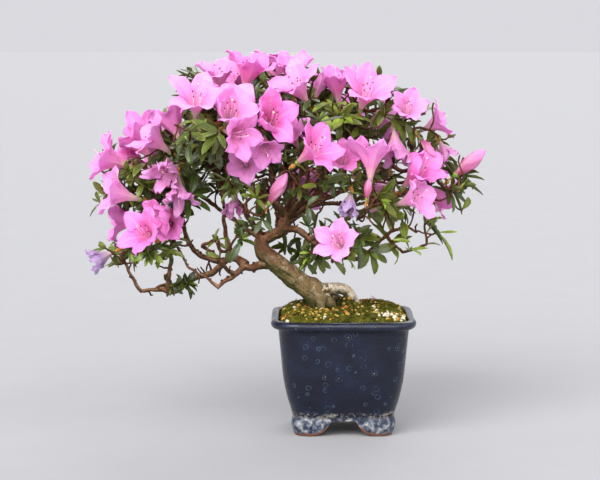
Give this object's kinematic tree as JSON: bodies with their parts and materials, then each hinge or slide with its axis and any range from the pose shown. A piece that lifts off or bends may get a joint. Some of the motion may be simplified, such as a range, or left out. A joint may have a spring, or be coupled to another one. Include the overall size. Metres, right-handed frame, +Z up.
{
  "type": "azalea bonsai in a pot",
  "caption": "Small potted azalea bonsai in full flower: a leaning trunk, twisting boughs and a wide crown of blossom and leaves over a square glazed pot on low feet.",
  "frame": {"origin": "on the surface that the pot stands on, under the middle of the whole plant's bounding box", "axes": "+Z up, +X along the crown's longer way towards its shorter side, +Y from the front of the plant to its back"},
  "size_m": [0.3136, 0.2318, 0.2958],
  "materials": {
    "glaze": "gloss",
    "moss": "matte",
    "bark": "matte",
    "blossom": "satin",
    "foliage": "satin"
  },
  "bodies": {
    "root": {"pot": "glaze", "soil": "moss", "trunk": "bark", "bough_left_low": "bark", "bough_left_arch": "bark", "bough_left_loop": "bark", "bough_left_sweep": "bark", "bough_left_stub": "bark", "bough_left_upright": "bark", "bough_left_inner": "bark", "bough_left_spur": "bark", "bough_left_shoot": "bark", "bough_middle_left": "bark", "bough_upper_left": "bark", "bough_top_centre": "bark", "bough_top_right": "bark", "bough_right_crown": "bark", "bough_right_upper": "bark", "bough_right_low": "bark", "bough_right_shoot": "bark", "bough_right_middle": "bark", "bough_front_low": "bark", "bough_front": "bark", "bough_front_left": "bark", "bough_front_right": "bark", "bough_back_left": "bark", "bough_back_top": "bark", "bough_back_right": "bark", "bough_back_low": "bark", "bough_back_centre": "bark", "mass_left_tip": "blossom", "mass_left_low": "blossom", "mass_left_loop": "foliage", "mass_left_outer": "blossom", "mass_left_middle": "blossom", "mass_left_upper": "blossom", "mass_inner_left": "foliage", "mass_upper_left": "blossom", "mass_top_left": "blossom", "mass_top_right": "blossom", "mass_crown_right": "blossom", "mass_right_upper": "blossom", "mass_right_tip": "blossom", "mass_right_low": "blossom", "mass_low_centre": "blossom", "mass_centre": "blossom", "mass_centre_left": "blossom", "mass_centre_right": "blossom", "mass_back_left_low": "blossom", "mass_back_left": "blossom", "mass_back_top": "blossom", "mass_back_right": "blossom", "mass_back_low_right": "blossom", "mass_back_centre": "blossom"}
  },
  "joints": []
}
